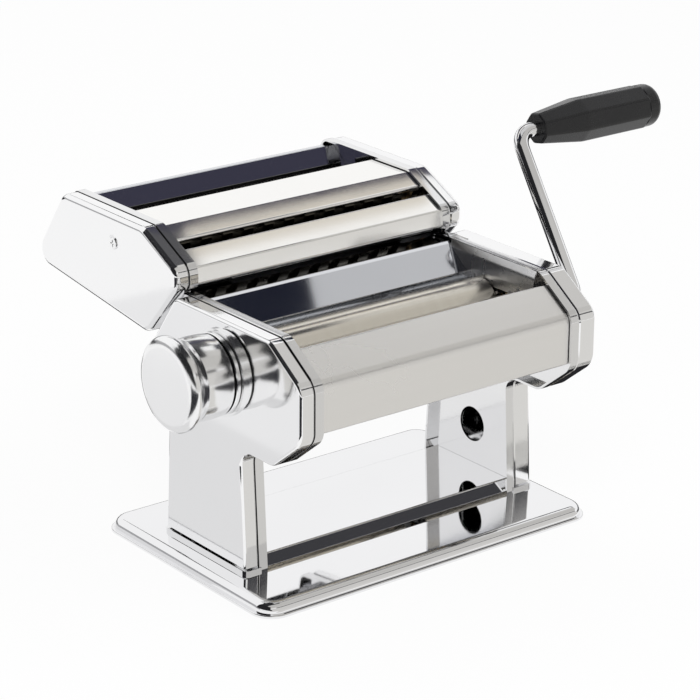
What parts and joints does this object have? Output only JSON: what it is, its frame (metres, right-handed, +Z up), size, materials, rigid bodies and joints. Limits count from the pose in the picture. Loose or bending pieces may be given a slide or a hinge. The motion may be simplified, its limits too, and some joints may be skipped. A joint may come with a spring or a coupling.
{
  "type": "pasta machine",
  "caption": "Hand cranked pasta machine with a roller gap knob, a crank with a plastic grip and a lift-off cutter attachment on a pressed steel base.",
  "frame": {"origin": "on the table under the middle of the base", "axes": "+X along the rollers towards the crank, -Y the front, +Z up"},
  "size_m": [0.334, 0.2277, 0.1993],
  "materials": {
    "polished_steel": "polished stainless sheet",
    "satin_steel": "satin stainless sheet",
    "roller_steel": "ground, satin",
    "cutter_steel": "dark ground steel",
    "satin_aluminium": "turned, satin",
    "zinc_steel": "zinc plated",
    "gear_steel": "cut steel",
    "bush_bronze": "sintered bronze",
    "black_plastic": "matte moulded"
  },
  "bodies": {
    "body": {"base_plate": "polished_steel", "base_screws": "zinc_steel", "cross_plate": "polished_steel", "left_frame": "polished_steel", "right_frame": "polished_steel", "left_cover": "polished_steel", "right_cover": "polished_steel", "front_panel": "satin_steel", "rear_panel": "satin_steel", "left_dough_guide": "satin_steel", "right_dough_guide": "satin_steel", "tie_rods": "zinc_steel", "tie_rod_screws": "zinc_steel", "front_scraper": "cutter_steel", "drive_bushes": "bush_bronze", "eccentric_bearings": "bush_bronze", "index_ring": "satin_aluminium", "attachment_rails": "satin_steel"},
    "drive_roller": {"drive_roller": "roller_steel", "drive_gear": "gear_steel"},
    "crank": {"crank_rod": "polished_steel", "grip_push_nut": "zinc_steel"},
    "grip": {"crank_grip": "black_plastic", "grip_cap": "black_plastic"},
    "eccentric_shaft": {"eccentric_shaft": "zinc_steel", "knob_collar": "zinc_steel"},
    "knob": {"knob_barrel": "satin_aluminium", "knob_cap": "satin_aluminium", "detent_pin": "zinc_steel", "knob_spring": "zinc_steel"},
    "roller_yoke": {"roller_yoke": "bush_bronze", "rear_scraper": "cutter_steel"},
    "adjustable_roller": {"adjustable_roller": "roller_steel", "driven_gear": "gear_steel"},
    "cutter_attachment": {"cutter_left_frame": "polished_steel", "cutter_right_frame": "polished_steel", "cutter_left_cover": "polished_steel", "cutter_right_cover": "polished_steel", "cutter_front_panel": "satin_steel", "cutter_centre_panel": "satin_steel", "cutter_rear_panel": "satin_steel", "cutter_tie_rods": "zinc_steel", "cutter_tie_screws": "zinc_steel", "cutter_cover_screws": "zinc_steel", "cutter_bushes": "bush_bronze", "attachment_tongues": "satin_steel", "wide_comb": "cutter_steel", "fine_comb": "cutter_steel"},
    "wide_drive_cutter": {"wide_drive_cutter": "cutter_steel", "wide_drive_gear": "gear_steel"},
    "wide_driven_cutter": {"wide_driven_cutter": "cutter_steel", "wide_driven_gear": "gear_steel"},
    "fine_drive_cutter": {"fine_drive_cutter": "cutter_steel", "fine_drive_gear": "gear_steel"},
    "fine_driven_cutter": {"fine_driven_cutter": "cutter_steel", "fine_driven_gear": "gear_steel"}
  },
  "joints": [
    {"name": "crank_turn", "type": "hinge", "parent": "body", "child": "drive_roller", "pos_m": [0.0013, -0.0429, 0.1075], "axis": [1, 0, 0], "continuous": true},
    {"name": "crank_pull", "type": "slide", "parent": "drive_roller", "child": "crank", "axis": [1, 0, 0], "range_m": [0, 0.025]},
    {"name": "grip_spin", "type": "hinge", "parent": "crank", "child": "grip", "pos_m": [0.0013, 0.00884, 0.18717], "axis": [1, 0, 0], "continuous": true},
    {"name": "knob_turn", "type": "hinge", "parent": "body", "child": "eccentric_shaft", "pos_m": [0.0013, -0.0135, 0.1075], "axis": [1, 0, 0], "range_deg": [0, 150]},
    {"name": "knob_pull", "type": "slide", "parent": "eccentric_shaft", "child": "knob", "axis": [-1, 0, 0], "range_m": [0, 0.005], "stiffness_N_per_m": 800, "springref_m": -0.004, "deforming": ["knob_spring"]},
    {"name": "yoke_level", "type": "hinge", "parent": "eccentric_shaft", "child": "roller_yoke", "pos_m": [0.0013, -0.01249, 0.10777], "axis": [1, 0, 0], "range_deg": [-150, 0]},
    {"name": "roller_turn", "type": "hinge", "parent": "roller_yoke", "child": "adjustable_roller", "pos_m": [0.0013, -0.01249, 0.10777], "axis": [1, 0, 0], "continuous": true},
    {"name": "attachment_lift", "type": "slide", "parent": "body", "child": "cutter_attachment", "axis": [0, -0.5906, 0.807], "range_m": [0, 0.07]},
    {"name": "wide_cutter_turn", "type": "hinge", "parent": "cutter_attachment", "child": "wide_drive_cutter", "pos_m": [0.0013, 0.06403, 0.14955], "axis": [1, 0, 0], "continuous": true},
    {"name": "wide_pair_turn", "type": "hinge", "parent": "cutter_attachment", "child": "wide_driven_cutter", "pos_m": [0.0013, 0.05, 0.136], "axis": [1, 0, 0], "continuous": true},
    {"name": "fine_cutter_turn", "type": "hinge", "parent": "cutter_attachment", "child": "fine_drive_cutter", "pos_m": [0.0013, 0.0925, 0.137], "axis": [1, 0, 0], "continuous": true},
    {"name": "fine_pair_turn", "type": "hinge", "parent": "cutter_attachment", "child": "fine_driven_cutter", "pos_m": [0.0013, 0.112, 0.137], "axis": [1, 0, 0], "continuous": true}
  ],
  "couplings": [
    {"joint": "yoke_level", "follows": "knob_turn", "ratio": -1},
    {"joint": "roller_turn", "follows": "crank_turn", "ratio": -1},
    {"joint": "wide_pair_turn", "follows": "wide_cutter_turn", "ratio": -1},
    {"joint": "fine_pair_turn", "follows": "fine_cutter_turn", "ratio": -1}
  ]
}
